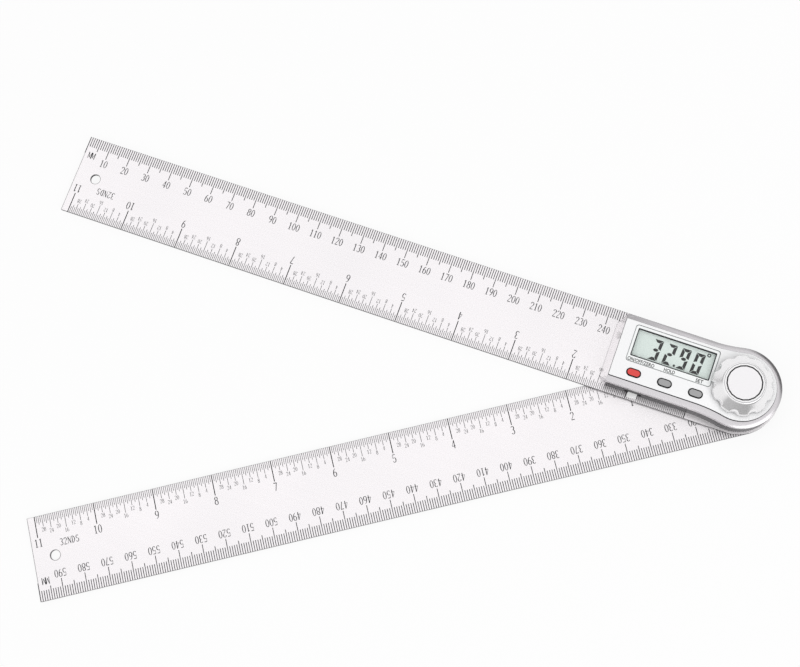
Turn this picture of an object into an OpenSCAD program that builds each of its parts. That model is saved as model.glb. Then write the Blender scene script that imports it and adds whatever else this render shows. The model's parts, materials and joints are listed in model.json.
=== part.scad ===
// Digital angle finder: two flat steel rulers on one pivot, a display head and a lock knob.
// Millimetres. The origin is on the pivot axis, on the plane that the underside lies on.
// The fixed ruler runs along -X, and the swinging ruler lies under it at rest_angle.

/* [Rulers] */
// Length of each ruler from the pivot axis to its tip
ruler_length = 300; // [200:10:400]
// Width of both rulers
ruler_width = 35.5; // [35.5:0.5:40]
// Thickness of both rulers
ruler_t = 1.2; // [1:0.1:2]
// Angle between the rulers at rest
rest_angle = 32.9; // [20:0.1:160]
// Diameter of the hanging hole near each tip
hang_hole_d = 4.2; // [3:0.1:6]
// Distance from each tip to the centre of its hanging hole
hang_hole_inset = 9.2; // [6:0.1:15]
// Thickness of the slip washer between the rulers
slip_t = 0.3; // [0.2:0.1:0.6]

/* [Head] */
// Distance from the pivot axis to the foot of the flat end
head_length = 55.5; // [54.5:0.1:70]
// How far the flat end leans back from its foot to the face
end_lean = 3.1; // [2.6:0.1:4]
// Width across the straight sides
head_width = 30.2; // [30:0.1:34]
// Radius of the round end about the pivot axis
round_end_r = 16.8; // [16.6:0.1:20]
// Radius of the hollow curve between a straight side and the round end
waist_r = 60; // [30:5:90]
// Length of the corner facets along the foot of the flat end
corner_cut = 3; // [1:0.5:5]
// Height of the base frame
base_h = 6.6; // [6.4:0.1:9]
// Height of the cover above the base frame
cover_h = 3.2; // [3:0.1:5]
// How far the cover's bevel comes in
bevel_w = 2.3; // [1.5:0.1:2.6]
// Height of the cover's bevel
bevel_h = 1.1; // [0.8:0.1:2.4]
// Thickness of the side walls
wall = 1.5; // [1.3:0.1:1.8]
// Thickness of the base frame's floor
floor_t = 0.8; // [0.7:0.1:1]
// Thickness of the cover's roof
roof_t = 1.2; // [1:0.1:1.5]
// Thickness of the face plate
face_t = 0.8; // [0.6:0.1:1.2]
// Slope of the face plate's edge
face_edge = 0.3; // [0.1:0.1:0.5]
// Height of the lip that keys the cover into the base frame
lip_h = 0.8; // [0.5:0.1:1.2]

/* [Display] */
// Length of the clear window
window_length = 35.8; // [34:0.1:38]
// Width of the clear window
window_width = 15.8; // [14.5:0.1:16]
// Corner radius of the clear window
window_r = 1.2; // [0.5:0.1:3]
// Distance from the head's flat end to the middle of the display
display_in = 22.5; // [21:0.1:24]
// Offset of the window's middle from the head's centreline
window_y = 3.4; // [3:0.1:3.8]
// Length of the panel that shows through the cover
view_length = 32.6; // [28:0.1:33]
// Width of the panel that shows through the cover
view_width = 11.3; // [9:0.1:12]
// Offset of the view's middle from the head's centreline
view_y = 4; // [3.5:0.1:4.3]
// Thickness of the display panel
panel_t = 1.8; // [1.2:0.1:2]
// Border of the display panel outside its view
panel_border = 1.15; // [0.8:0.05:1.2]

/* [Buttons] */
// Length of each button
button_length = 5.3; // [4:0.1:7]
// Width of each button
button_width = 2.7; // [2.5:0.1:3.6]
// Distance between buttons
button_pitch = 13.1; // [11:0.1:14]
// Distance from the head's flat end to the middle button
button_in = 22.6; // [21:0.1:24]
// Offset of the button row from the head's centreline
button_y = -8.8; // [-9:0.1:-8.4]
// Height of each button above the face
button_proud = 0.5; // [0.2:0.1:1]
// Travel of each button
button_travel = 0.5; // [0.2:0.1:0.5]

/* [Battery] */
// Diameter of the coin cell
cell_d = 20; // [16:0.5:20]
// Thickness of the coin cell
cell_t = 3.2; // [1.6:0.1:3.3]
// Distance from the head's flat end to the side of the battery tray
tray_in = 0.8; // [0.8:0.1:1.2]
// Thickness of the tray's side walls
tray_wall = 1.1; // [0.8:0.1:1.2]
// Thickness of the tray's floor
tray_floor = 0.4; // [0.3:0.1:0.6]
// Width of the pull tab
tab_width = 4; // [2:0.1:6]
// How far the pull tab stands out
tab_out = 1.9; // [0.6:0.1:3]
// Height of the pull tab
tab_height = 2.6; // [1:0.1:3]

/* [Pivot] */
// Diameter of the pivot hub
hub_d = 16; // [13:0.5:16]
// Diameter of the hub's neck
neck_d = 8; // [7:0.5:9]
// Diameter of the lock stud on the neck
stud_d = 6; // [4:0.5:6]
// Wall of the bearing ring about the hub
bearing_wall = 1.5; // [1:0.1:1.6]
// Radius of the encoder's rotor disc
rotor_r = 11; // [9.5:0.1:11]
// Thickness of the encoder's rotor disc
rotor_t = 1; // [0.6:0.1:1.2]
// Running clearance of every turning fit, on the radius
run_gap = 0.05; // [0.02:0.01:0.1]

/* [Lock knob] */
// Diameter of the knob
knob_d = 24.8; // [22:0.1:30]
// Height of the knob's top above the face
knob_h = 7.2; // [7:0.1:12]
// Height of the knob's fluted side
knob_side_h = 2.7; // [2:0.1:4]
// Diameter of the knob's flat top
knob_top_d = 17.4; // [16:0.1:20]
// Number of flutes
flutes = 10; // [6:1:16]
// Radius of each flute
flute_r = 2.6; // [1.5:0.1:4]
// Depth of each flute
flute_depth = 0.9; // [0.3:0.1:1.2]
// Diameter of the disc in the knob's top
cap_d = 14; // [12:0.1:15]
// Thickness of the disc in the knob's top
cap_t = 1; // [0.6:0.1:1.2]
// How far the knob rises on its thread when it is loosened
knob_lift = 0.5; // [0.2:0.1:0.5]

/* [Hidden] */

fit = 0.1;       // clearance between a piece and the opening that it seats in
press = 0.02;    // clearance of a pressed or screwed fit, on the radius
eps = 0.01;      // how far a cut runs past a face
fine = 96;       // facets of the large round pieces

// Levels, from the underside up
swing_top = ruler_t;
fixed_z = swing_top + slip_t;
head_z = fixed_z + ruler_t;
floor_z = head_z + floor_t;
base_top = head_z + base_h;
cover_top = base_top + cover_h;
roof_z = cover_top - roof_t;
face_top = cover_top + face_t;
head_h = cover_top - head_z;
bevel_foot = head_h - bevel_h;

// Widths that follow from the head's outline
half_width = head_width / 2;
shoulder_x = head_length - end_lean;
display_x = shoulder_x - display_in;
button_x = shoulder_x - button_in;
waist_reach = waist_r + half_width;
waist_x = sqrt(pow(waist_r + round_end_r, 2) - pow(waist_reach, 2));
waist_angle = atan2(waist_reach, waist_x);
split_wall = 0.7;   // base frame's wall behind the cover's end
corner_edge = 0.2;  // small chamfer left at the top of the corner facets
lip_inset = wall / 2 + fit / 2;

// Battery tray levels
tray_z = floor_z + fit;
cell_z = tray_z + tray_floor;
cell_top = cell_z + cell_t;
tray_half = cell_d / 2 + fit + tray_wall;
tray_x = shoulder_x - tray_in - tray_half;
bar_t = 1.8;        // thickness of the tray's front bar
cell_y = -half_width + bar_t + cell_d / 2 + fit;
tray_back = cell_y + cell_d / 2 + fit + tray_wall;
slot_top = cell_top + 3 * fit;
nail_w = 1.6;       // width of the nail notch on each side of the pull tab
nail_depth = 0.9;   // depth of the nail notches
shank_w = 2;        // width of the pull tab's shank
shank_h = 1;        // height of the pull tab's shank
shank_z = tray_z + tray_floor;
rail_t = 0.8;       // thickness of the walls that guide the tray
rail_side = tray_x - tray_half - fit;
contact_w = 4;      // width of both battery contacts
leaf_t = 0.2;       // thickness of both battery contacts
leaf_gap = 0.05;    // working gap between a contact and the cell
leaf_tip = 1;       // the rest of this group is distances along a contact from the cell's middle
leaf_bend = 3;
leaf_foot = 5;      // end of the upper contact
leaf_end = 8;       // end of the lower contact

// Electronics levels
contact_room = 0.8; // room for the upper contact between the cell and the board
board_z = cell_top + contact_room;
board_t = 1;
board_top = board_z + board_t;
pocket_depth = 0.6; // how far the display panel sinks into the cover's roof
panel_top = roof_z + pocket_depth;
panel_z = panel_top - panel_t;
panel_length = view_length + 2 * panel_border;
panel_width = view_width + 2 * panel_border;
holder_wall = 0.6;
holder_gap = 0.5;   // room between the panel's holder and the roof
dome_h = 0.3;
dome_d = 4.6;
flange_t = 0.7;     // thickness of a button's retaining flange
flange_w = 0.6;     // how far the flange stands out
rotor_gap = 0.3;    // air gap of the angle encoder
rotor_top = board_z - rotor_gap;
rotor_z = rotor_top - rotor_t;

// Pivot levels
collar_t = 0.5;     // flange of the collar bush on the face
collar_r = 7;
collar_top = face_top + collar_t;
bush_wall = 1.5;
bush_r = neck_d / 2 + run_gap + bush_wall;
washer_t = 0.6;
insert_z = collar_top + washer_t;
insert_h = 3.5;
insert_r = 5.5;
insert_top = insert_z + insert_h;
clip_z = insert_top + knob_lift + run_gap;
clip_t = 0.6;
clip_r = 4.5;
clip_groove = 0.5;  // depth of the clip's groove in the stud
bearing_r = hub_d / 2 + run_gap + bearing_wall;
bearing_flange = 1; // how far the bearing ring's flange stands out
bearing_flange_t = 0.8;
hub_screw_r = 5.5;
rotor_screw_r = 6;

// Knob levels
knob_z = face_top + button_proud + fit;
knob_top = face_top + knob_h;
cap_z = knob_top - cap_t;
stud_top = cap_z - 3 * fit;
flute_phase = 180 / flutes;

// Screws: each is [head radius, shank radius]
cover_screw = [1.9, 0.95];
small_screw = [1.5, 0.8];
hub_screw = [1.9, 1];
boss_r = 1.95;
boss_in = 13.3;     // distance of the bosses round the pivot from its axis
board_boss_at = 95; // direction of the board's bosses from the pivot axis
board_screw_depth = 3;
board_screw_head = 0.7;
hub_screw_depth = 2.8;
rotor_screw_depth = 1.8;
screw_end = 0.2;    // room between a screw's end and the end of its hole
side_boss_in = 4.3; // distance of the boss between the buttons from the straight side
cover_screw_top = roof_z - 0.5;
boss_places = [
    [-(shoulder_x - boss_r), half_width - lip_inset - boss_r],
    [-(button_x - button_pitch / 2), side_boss_in - half_width],
    boss_in * [cos(45), sin(45)],
    boss_in * [cos(45), -sin(45)]];
board_screw_places = [for (side = [-1, 1]) boss_in * [cos(board_boss_at), side * sin(board_boss_at)]];

// ---------------------------------------------------------------- outline of the head

function arc(centre, r, from, to, steps) =
    [for (i = [0:steps]) centre + r * [cos(from + (to - from) * i / steps),
                                       sin(from + (to - from) * i / steps)]];

function mirrored(points) = [for (i = [len(points) - 1:-1:0]) [points[i][0], -points[i][1]]];

// The lower half of the outline, from the flat end to the waist's end, drawn in by inset
function lower_side(inset, end_x, corner) = concat(
    [[-end_x, -(half_width - inset - corner)], [corner - end_x, -(half_width - inset)]],
    arc([-waist_x, -waist_reach], waist_r + inset, 90, waist_angle, 8));

// The whole outline: straight sides, hollow waist and round end about the pivot axis. The round
// end's arc starts and stops a degree from the waists, so that no two points fall together.
function head_outline(inset, end_x, corner) = concat(
    lower_side(inset, end_x, corner),
    arc([0, 0], round_end_r - inset, waist_angle - 179, 179 - waist_angle, 48),
    mirrored(lower_side(inset, end_x, corner)));

// The flat end leans back with the height above the rulers, and its corner facets run out
function rise(h) = h / (head_h + face_t);
function end_x_at(h) = head_length - end_lean * rise(h);
function corner_at(h) = corner_edge + corner_cut * (1 - rise(h));

function level(h, inset) = [head_z + h, head_outline(inset, end_x_at(h), corner_at(h))];

// Closed solid through a stack of outlines with equal counts of points. Each cap is made of
// strips between a point and the one that mirrors it.
module stack(levels) {
    n = len(levels[0][1]);
    top = len(levels) - 1;
    points = [for (l = levels) for (p = l[1]) [p[0], p[1], l[0]]];
    sides = [for (k = [0:top - 1]) for (i = [0:n - 1]) let (j = (i + 1) % n)
        each [[k * n + i, k * n + n + j, k * n + j], [k * n + i, k * n + n + i, k * n + n + j]]];
    strips = [for (i = [0:floor(n / 2) - 1]) let (j = n - 1 - i)
        i + 1 == j - 1 ? [i, i + 1, j] : [i, i + 1, j - 1, j]];
    roof = [for (strip = strips) [for (i = [len(strip) - 1:-1:0]) top * n + strip[i]]];
    polyhedron(points, concat(strips, roof, sides), convexity = 6);
}

// Straight prism of the outline, drawn in by inset and cut square at end_x
module outline_prism(inset, end_x, z_low, z_high) {
    translate([0, 0, z_low])
        linear_extrude(z_high - z_low)
            polygon(head_outline(inset, end_x, corner_edge));
}

// ---------------------------------------------------------------- shared shapes

module ring(r_out, r_in, z_low, z_high, facets = fine) {
    translate([0, 0, z_low])
        linear_extrude(z_high - z_low)
            difference() {
                circle(r_out, $fn = facets);
                circle(r_in, $fn = facets);
            }
}

module slab(length, width, z_low, z_high) {
    translate([-length / 2, -width / 2, z_low])
        cube([length, width, z_high - z_low]);
}

module rounded_slab(length, width, r, z_low, z_high) {
    translate([0, 0, z_low])
        linear_extrude(z_high - z_low) {
            square([length - 2 * r, width], center = true);
            square([length, width - 2 * r], center = true);
            for (x = [-1, 1], y = [-1, 1])
                translate([x * (length / 2 - r), y * (width / 2 - r)])
                    circle(r, $fn = 32);
        }
}

// Slot-shaped slab with full round ends
module stadium(length, width, z_low, z_high) {
    translate([0, 0, z_low])
        linear_extrude(z_high - z_low) {
            square([length - width, width], center = true);
            for (x = [-1, 1])
                translate([x * (length - width) / 2, 0])
                    circle(width / 2, $fn = 48);
        }
}

// Countersunk screw, or the cut for it, with its flat head at z_head and its end at z_end
module sunk_screw(radii, z_head, z_end, gap = 0) {
    dir = sign(z_end - z_head);
    depth = radii[0] - radii[1];
    translate([0, 0, z_head])
        scale([1, 1, dir])
            rotate_extrude($fn = 48)
                polygon([[0, 0], [radii[0] + gap, 0], [radii[1] + gap, depth],
                         [radii[1] + gap, abs(z_end - z_head)], [0, abs(z_end - z_head)]]);
}

module at_places(places) {
    for (p = places)
        translate([p[0], p[1], 0])
            children();
}

module in_circle(count, r, phase) {
    for (i = [0:count - 1])
        rotate(phase + i * 360 / count)
            translate([r, 0, 0])
                children();
}

// Flat ruler along -X with a round end about the pivot axis and a hole near its tip
module ruler_blank() {
    difference() {
        union() {
            translate([-ruler_length, -ruler_width / 2, 0])
                cube([ruler_length, ruler_width, ruler_t]);
            cylinder(h = ruler_t, d = ruler_width, $fn = fine);
        }
        translate([hang_hole_inset - ruler_length, 0, -1])
            cylinder(h = ruler_t + 2, d = hang_hole_d, $fn = 48);
    }
}

// ---------------------------------------------------------------- head

module fixed_ruler() {
    color("gainsboro")
        difference() {
            translate([0, 0, fixed_z])
                ruler_blank();
            translate([0, 0, fixed_z - 1])
                cylinder(h = ruler_t + 2, r = bearing_r + press, $fn = fine);
            at_places(boss_places)
                sunk_screw(cover_screw, fixed_z, head_z + 1, press);
        }
}

module base_frame() {
    color("dimgray")
        difference() {
            union() {
                difference() {
                    outline_prism(0, shoulder_x, head_z, base_top);
                    outline_prism(wall, shoulder_x - split_wall, floor_z, base_top + 1);
                    outline_prism(lip_inset, shoulder_x + 1, base_top - lip_h, base_top + 1);
                }
                base_bosses();
                tray_rails();
            }
            battery_slot();
            translate([0, 0, head_z - 1])
                cylinder(h = floor_t + 2, r = bearing_r + press, $fn = fine);
            at_places(boss_places)
                translate([0, 0, head_z - 1])
                    cylinder(h = base_h + 2, r = cover_screw[1] + press, $fn = 48);
            at_places(board_screw_places)
                translate([0, 0, floor_z])
                    cylinder(h = base_h, r = small_screw[1] + press, $fn = 48);
        }
}

// Posts that carry the circuit board, each with a hole for its screw
module base_bosses() {
    at_places(concat(boss_places, board_screw_places))
        translate([0, 0, head_z + floor_t / 2])
            cylinder(h = board_z - head_z - floor_t / 2, r = boss_r, $fn = 48);
}

// Low walls that guide the tray and stop it at its back
module tray_rails() {
    translate([-rail_side, -half_width + wall / 2, head_z + floor_t / 2])
        cube([rail_t, tray_back + half_width - wall / 2, slot_top - head_z - floor_t / 2]);
    translate([-tray_x - tray_half, tray_back + fit, head_z + floor_t / 2])
        cube([2 * tray_half + fit + rail_t, rail_t, slot_top - head_z - floor_t / 2]);
}

// Way in for the tray, and the shallow seat of the lower contact in the floor
module battery_slot() {
    translate([-tray_x, -half_width + wall / 2, 0])
        slab(2 * tray_half + 2 * fit, 2 * wall, floor_z, slot_top);
    translate([-tray_x, cell_y + (leaf_end - leaf_tip) / 2, 0])
        slab(contact_w + 2 * fit, leaf_end + leaf_tip + 2 * fit, floor_z - leaf_t, floor_z + eps);
}

module head_cover() {
    color("whitesmoke")
        difference() {
            union() {
                difference() {
                    stack([level(0, 0), level(bevel_foot, 0), level(head_h, bevel_w)]);
                    base_region();
                    cover_cavity();
                }
                cover_lip();
                cover_bosses();
            }
            translate([-display_x, view_y, 0]) {
                slab(view_length + fit, view_width + fit, roof_z - 1, cover_top + 1);
                slab(panel_length + 2 * fit, panel_width + 2 * fit, roof_z - 1, panel_top);
                slab(panel_length + 2 * holder_wall + 4 * fit, panel_width + 2 * holder_wall + 4 * fit,
                     board_top, roof_z - holder_gap + fit);
            }
            button_holes(roof_z - 1, cover_top + 1);
            translate([0, 0, board_top])
                cylinder(h = cover_top + 1 - board_top, r = bush_r + press, $fn = fine);
            at_places(boss_places)
                translate([0, 0, board_top])
                    cylinder(h = cover_screw_top - board_top, r = cover_screw[1] + press, $fn = 48);
        }
}

// Everything under the parting line, right of the cover's end
module base_region() {
    translate([-shoulder_x, -head_width, head_z - 1])
        cube([2 * head_length, 2 * head_width, base_h + 1]);
}

// Inside of the cover: straight in its end, drawn in where the roof lies under the bevel
module cover_cavity() {
    knee = bevel_h > roof_t ? [[head_z + bevel_foot, cavity_outline(bevel_foot)]] : [];
    stack(concat([[head_z - eps, cavity_outline(0)], [base_top, cavity_outline(base_h)]], knee,
                 [[roof_z, cavity_outline(head_h - roof_t)]]));
}

// The inside outline at a height above the rulers
function cavity_outline(h) =
    let (drawn_in = wall + bevel_w * max(0, h - bevel_foot) / bevel_h)
    head_outline(drawn_in, end_x_at(h) - wall, corner_at(h));

module cover_lip() {
    difference() {
        outline_prism(lip_inset + fit / 2, shoulder_x - split_wall, base_top - lip_h + fit, base_top + fit);
        outline_prism(wall, shoulder_x + 1, base_top - lip_h, base_top + 1);
    }
}

// Screw bosses and the ring that backs the collar bush
module cover_bosses() {
    backing = 2;
    at_places(boss_places)
        translate([0, 0, board_top])
            cylinder(h = roof_z - board_top + roof_t / 2, r = boss_r, $fn = 48);
    ring(bush_r + backing, bush_r, board_top + fit, roof_z + roof_t / 2);
}

module button_holes(z_low, z_high) {
    for (i = [-1:1])
        translate([i * button_pitch - button_x, button_y, 0])
            stadium(button_length + 2 * fit, button_width + 2 * fit, z_low, z_high);
}

module face_plate() {
    color("white")
        difference() {
            stack([level(head_h, bevel_w), level(head_h + face_t, bevel_w + face_edge)]);
            translate([-display_x, window_y, 0])
                rounded_slab(window_length + 2 * fit, window_width + 2 * fit, window_r,
                             cover_top - 1, face_top + 1);
            button_holes(cover_top - 1, face_top + 1);
            translate([0, 0, cover_top - 1])
                cylinder(h = face_t + 2, r = bush_r + press, $fn = fine);
        }
}

// Clear plate flush with the face, on the cover's roof
module display_window() {
    color("lightcyan", 0.4)
        translate([-display_x, window_y, 0])
            rounded_slab(window_length, window_width, window_r, cover_top, face_top);
}

module lcd_panel() {
    color([0.78, 0.84, 0.81])
        translate([-display_x, view_y, 0])
            slab(panel_length, panel_width, panel_z, panel_top);
}

// Frame that holds the panel over its contact strips
module lcd_holder() {
    color("ivory")
        translate([-display_x, view_y, 0])
            difference() {
                slab(panel_length + 2 * (fit + holder_wall), panel_width + 2 * (fit + holder_wall),
                     board_top, roof_z - holder_gap);
                slab(panel_length + 2 * fit, panel_width + 2 * fit, board_top - 1, roof_z);
            }
}

module zebra_strips() {
    strip_w = 1.6;
    strip_in = 1;   // distance from the panel's side to the middle of each strip
    color("lightgray")
        for (side = [-1, 1])
            translate([-display_x, view_y + side * (panel_width / 2 - strip_in), 0])
                slab(view_length, strip_w, board_top, panel_z);
}

module circuit_board() {
    edge_gap = 0.3;
    screw_room = 0.5;
    neck_hole = neck_d / 2 + 0.5;
    color("darkgreen")
        difference() {
            outline_prism(wall + edge_gap, shoulder_x - split_wall - edge_gap, board_z, board_top);
            translate([0, 0, board_z - 1])
                cylinder(h = board_t + 2, r = neck_hole, $fn = fine);
            at_places(boss_places)
                translate([0, 0, board_z - 1])
                    cylinder(h = board_t + 2, r = cover_screw[1] + screw_room, $fn = 48);
            at_places(board_screw_places)
                translate([0, 0, board_z - 1])
                    cylinder(h = board_t + 2, r = small_screw[1] + press, $fn = 48);
        }
}

// Flat package under the board, between the tray and the rotor
module measuring_chip() {
    chip = 6.4;
    chip_t = 0.9;
    color("black")
        translate([-(rail_side + rotor_r) / 2, 0, 0])
            slab(chip, chip, board_z - chip_t, board_z);
}

module switch_domes() {
    color("silver")
        for (i = [-1:1])
            translate([i * button_pitch - button_x, button_y, board_top])
                rotate_extrude($fn = 48)
                    polygon([[0, 0], [dome_d / 2, 0], [dome_d / 2 - 0.5, dome_h * 0.7],
                             [dome_d / 5, dome_h], [0, dome_h]]);
}

// Bent leaf along Y through the middle of the cell
module contact_leaf(points) {
    translate([-tray_x - contact_w / 2, cell_y, 0])
        rotate([90, 0, 90])
            linear_extrude(contact_w)
                polygon(points);
}

// Leaf under the board that bears on the top of the cell
module positive_contact() {
    tip = cell_top + leaf_gap;
    color("gold")
        contact_leaf([[leaf_foot, board_z], [leaf_foot, board_z - leaf_t],
                      [leaf_bend, board_z - leaf_t], [0, tip], [-leaf_tip, tip],
                      [-leaf_tip, tip + leaf_t], [0, tip + leaf_t], [leaf_bend, board_z]]);
}

// Leaf in the floor that bears on the underside of the cell
module negative_contact() {
    tip = cell_z - leaf_gap;
    color("gold")
        contact_leaf([[leaf_end, floor_z - leaf_t], [leaf_end, floor_z], [leaf_bend, floor_z],
                      [0, tip], [-leaf_tip, tip], [-leaf_tip, tip - leaf_t],
                      [0, tip - leaf_t], [leaf_bend, floor_z - leaf_t]]);
}

// Flanged ring, pressed into the fixed ruler, that the hub turns in
module bearing_ring() {
    inner = hub_d / 2 + run_gap;
    color("goldenrod")
        rotate_extrude($fn = fine)
            polygon([[inner, fixed_z], [bearing_r, fixed_z], [bearing_r, floor_z],
                     [bearing_r + bearing_flange, floor_z],
                     [bearing_r + bearing_flange, floor_z + bearing_flange_t],
                     [inner, floor_z + bearing_flange_t]]);
}

// Flanged bush in the face that guides the neck and takes the clamp load
module collar_bush() {
    inner = neck_d / 2 + run_gap;
    color("silver")
        rotate_extrude($fn = fine)
            polygon([[inner, roof_z], [bush_r, roof_z], [bush_r, face_top], [collar_r, face_top],
                     [collar_r, collar_top], [inner, collar_top]]);
}

module slip_washer() {
    color("white")
        ring(bearing_r + bearing_flange / 2, hub_d / 2 + fit, swing_top, fixed_z);
}

module cover_screws() {
    color("slategray")
        at_places(boss_places)
            sunk_screw(cover_screw, fixed_z, cover_screw_top);
}

module board_screws() {
    end = board_z - board_screw_depth;
    top = board_top + board_screw_head;
    color("slategray")
        at_places(board_screw_places)
            rotate_extrude($fn = 48)
                polygon([[0, end], [small_screw[1], end], [small_screw[1], board_top],
                         [small_screw[0], board_top], [small_screw[0], top], [0, top]]);
}

// ---------------------------------------------------------------- buttons

// Stadium cap through the face, with a flange under the roof and a foot over its dome
module button(place, tint) {
    foot_z = board_top + dome_h + button_travel + fit;
    flange_z = roof_z - fit - flange_t;
    color(tint)
        translate([place * button_pitch - button_x, button_y, 0]) {
            stadium(button_length, button_width, flange_z, face_top + button_proud);
            stadium(button_length + 2 * flange_w, button_width + 2 * flange_w,
                    flange_z, flange_z + flange_t);
            translate([0, 0, foot_z])
                cylinder(h = flange_z - foot_z + flange_t / 2, r = button_width / 3, $fn = 32);
        }
}

module power_button() {
    button(-1, "tomato");
}

module hold_button() {
    button(0, "darkgray");
}

module set_button() {
    button(1, "darkgray");
}

// ---------------------------------------------------------------- battery

module battery_tray() {
    front = -half_width;
    color("dimgray")
        difference() {
            translate([-tray_x - tray_half, front, tray_z])
                cube([2 * tray_half, tray_back - front, cell_top - tray_z]);
            translate([-tray_x, cell_y, cell_z])
                cylinder(h = cell_t + 1, d = cell_d + 2 * fit, $fn = fine);
            // Slot that lets the lower contact pass as the tray slides out
            translate([-tray_x - contact_w / 2 - fit, cell_y - 2 * leaf_tip, tray_z - 1])
                cube([contact_w + 2 * fit, tray_back - cell_y + 3 * leaf_tip, tray_floor + 1 + eps]);
            // Nail notches beside the pull tab, and the slot for its shank
            for (side = [-1, 1])
                translate([-tray_x + side * (tab_width + nail_w) / 2, front, 0])
                    slab(nail_w, 2 * nail_depth, cell_z, cell_z + tab_height);
            translate([-tray_x, front, 0])
                slab(shank_w + 2 * press, 3 * bar_t, shank_z - press, shank_z + shank_h + press);
        }
}

// Light tab: a lug outside the tray's front bar, on a shank pressed through the bar
module pull_tab() {
    lug_z = head_z + 2 * fit;
    color("white")
        translate([-tray_x, 0, 0]) {
            translate([-tab_width / 2, -half_width - tab_out, lug_z])
                cube([tab_width, tab_out, tab_height]);
            translate([-shank_w / 2, -half_width - tab_out / 2, shank_z])
                cube([shank_w, tab_out / 2 + bar_t - fit, shank_h]);
        }
}

module coin_cell() {
    rim = 0.6;
    color("silver")
        translate([-tray_x, cell_y, cell_z])
            rotate_extrude($fn = fine)
                polygon([[0, 0], [cell_d / 2 - 2 * rim, 0], [cell_d / 2 - rim, rim],
                         [cell_d / 2, rim], [cell_d / 2, cell_t - rim / 2],
                         [cell_d / 2 - rim / 2, cell_t], [0, cell_t]]);
}

// ---------------------------------------------------------------- swinging ruler and hub

module swing_ruler() {
    color("gainsboro")
        rotate(rest_angle)
            difference() {
                ruler_blank();
                in_circle(3, hub_screw_r, 0)
                    sunk_screw(hub_screw, 0, swing_top + 1, press);
            }
}

// Turned hub: bearing journal, neck and lock stud in one piece
module pivot_hub() {
    journal = hub_d / 2;
    neck = neck_d / 2;
    stud = stud_d / 2;
    neck_top = collar_top - fit;
    groove = clip_groove + press;
    color("silver")
        rotate(rest_angle)
            difference() {
                rotate_extrude($fn = fine)
                    polygon([[0, swing_top], [journal, swing_top], [journal, rotor_z],
                             [neck, rotor_z], [neck, neck_top], [stud, neck_top],
                             [stud, clip_z], [stud - groove, clip_z],
                             [stud - groove, clip_z + clip_t], [stud, clip_z + clip_t],
                             [stud, stud_top], [0, stud_top]]);
                in_circle(3, hub_screw_r, 0)
                    translate([0, 0, swing_top - 1])
                        cylinder(h = 1 + hub_screw_depth + screw_end, r = hub_screw[1] + press, $fn = 48);
                in_circle(3, rotor_screw_r, 60)
                    translate([0, 0, rotor_z - rotor_screw_depth - screw_end])
                        cylinder(h = rotor_screw_depth + screw_end + 1, r = small_screw[1] + press, $fn = 48);
            }
}

module hub_screws() {
    color("slategray")
        rotate(rest_angle)
            in_circle(3, hub_screw_r, 0)
                sunk_screw(hub_screw, 0, swing_top + hub_screw_depth);
}

module rotor_disc() {
    color("seagreen")
        rotate(rest_angle)
            difference() {
                ring(rotor_r, neck_d / 2 + press, rotor_z, rotor_top);
                in_circle(3, rotor_screw_r, 60)
                    sunk_screw(small_screw, rotor_top, rotor_z - 1, press);
            }
}

module rotor_screws() {
    color("slategray")
        rotate(rest_angle)
            in_circle(3, rotor_screw_r, 60)
                sunk_screw(small_screw, rotor_top, rotor_z - rotor_screw_depth);
}

// Clip on the stud that stops the knob before it leaves its thread
module stop_clip() {
    color("dimgray")
        ring(clip_r, stud_d / 2 - clip_groove, clip_z, clip_z + clip_t);
}

// ---------------------------------------------------------------- lock knob

module clamp_washer() {
    color("silver")
        ring(collar_r, stud_d / 2 + run_gap, collar_top, insert_z);
}

// Outline of the knob's wall, from its underside over the shoulder to the cap's seat
function knob_profile() =
    let (r = knob_d / 2, top_r = knob_top_d / 2, side_z = knob_z + knob_side_h, round_r = 0.8)
    concat(
        [[insert_r + press, insert_z], [collar_r + 4 * fit, insert_z], [collar_r + 4 * fit, knob_z],
         [r - 0.3, knob_z], [r, knob_z + 0.3]],
        arc([r - round_r, side_z - round_r], round_r, 0, 45, 5),
        arc([top_r - 0.3, knob_top - 0.3], 0.3, 50, 90, 4),
        [[cap_d / 2 + fit, knob_top], [cap_d / 2 + fit, cap_z - fit], [clip_r + 1, cap_z - fit],
         [clip_r + 1, insert_top], [insert_r + press, insert_top]]);

module lock_knob() {
    color("whitesmoke")
        difference() {
            rotate_extrude($fn = fine)
                polygon(knob_profile());
            in_circle(flutes, knob_d / 2 + flute_r - flute_depth, flute_phase)
                translate([0, 0, knob_z - 1])
                    cylinder(h = knob_h + 2, r = flute_r, $fn = 48);
        }
}

// Threaded insert that climbs on the stud
module knob_insert() {
    color("goldenrod")
        ring(insert_r, stud_d / 2 + run_gap, insert_z, insert_top);
}

module knob_cap() {
    edge = 0.2;
    r = cap_d / 2;
    color("white")
        rotate_extrude($fn = fine)
            polygon([[0, cap_z], [r, cap_z], [r, knob_top - edge], [r - edge, knob_top],
                     [0, knob_top]]);
}

fixed_ruler();
base_frame();
head_cover();
face_plate();
display_window();
lcd_panel();
lcd_holder();
zebra_strips();
circuit_board();
measuring_chip();
switch_domes();
positive_contact();
negative_contact();
bearing_ring();
collar_bush();
slip_washer();
cover_screws();
board_screws();
power_button();
hold_button();
set_button();
battery_tray();
pull_tab();
coin_cell();
swing_ruler();
pivot_hub();
hub_screws();
rotor_disc();
rotor_screws();
stop_clip();
clamp_washer();
lock_knob();
knob_insert();
knob_cap();
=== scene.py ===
import json
import math
import bpy
import bmesh
from mathutils import Matrix, Vector


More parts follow.
